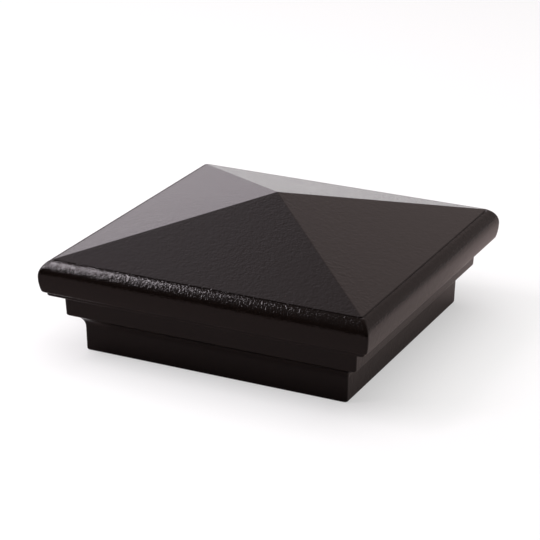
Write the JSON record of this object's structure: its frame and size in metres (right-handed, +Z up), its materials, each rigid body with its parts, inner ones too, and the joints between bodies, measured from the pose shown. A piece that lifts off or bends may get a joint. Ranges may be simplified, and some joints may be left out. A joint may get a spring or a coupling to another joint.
{
  "type": "post cap",
  "caption": "Square post cap with a low pyramid top, a rolled edge and a stepped skirt; the open socket underneath slips over the top of a square post.",
  "frame": {"origin": "centre of the rim plane, where the skirt ends", "axes": "+Z up along the post, towards the point of the pyramid; X and Y square to the sides"},
  "size_m": [0.1212, 0.1212, 0.0499],
  "materials": {
    "powder_coat": "satin"
  },
  "bodies": {
    "root": {"post_cap": "powder_coat"}
  },
  "joints": []
}
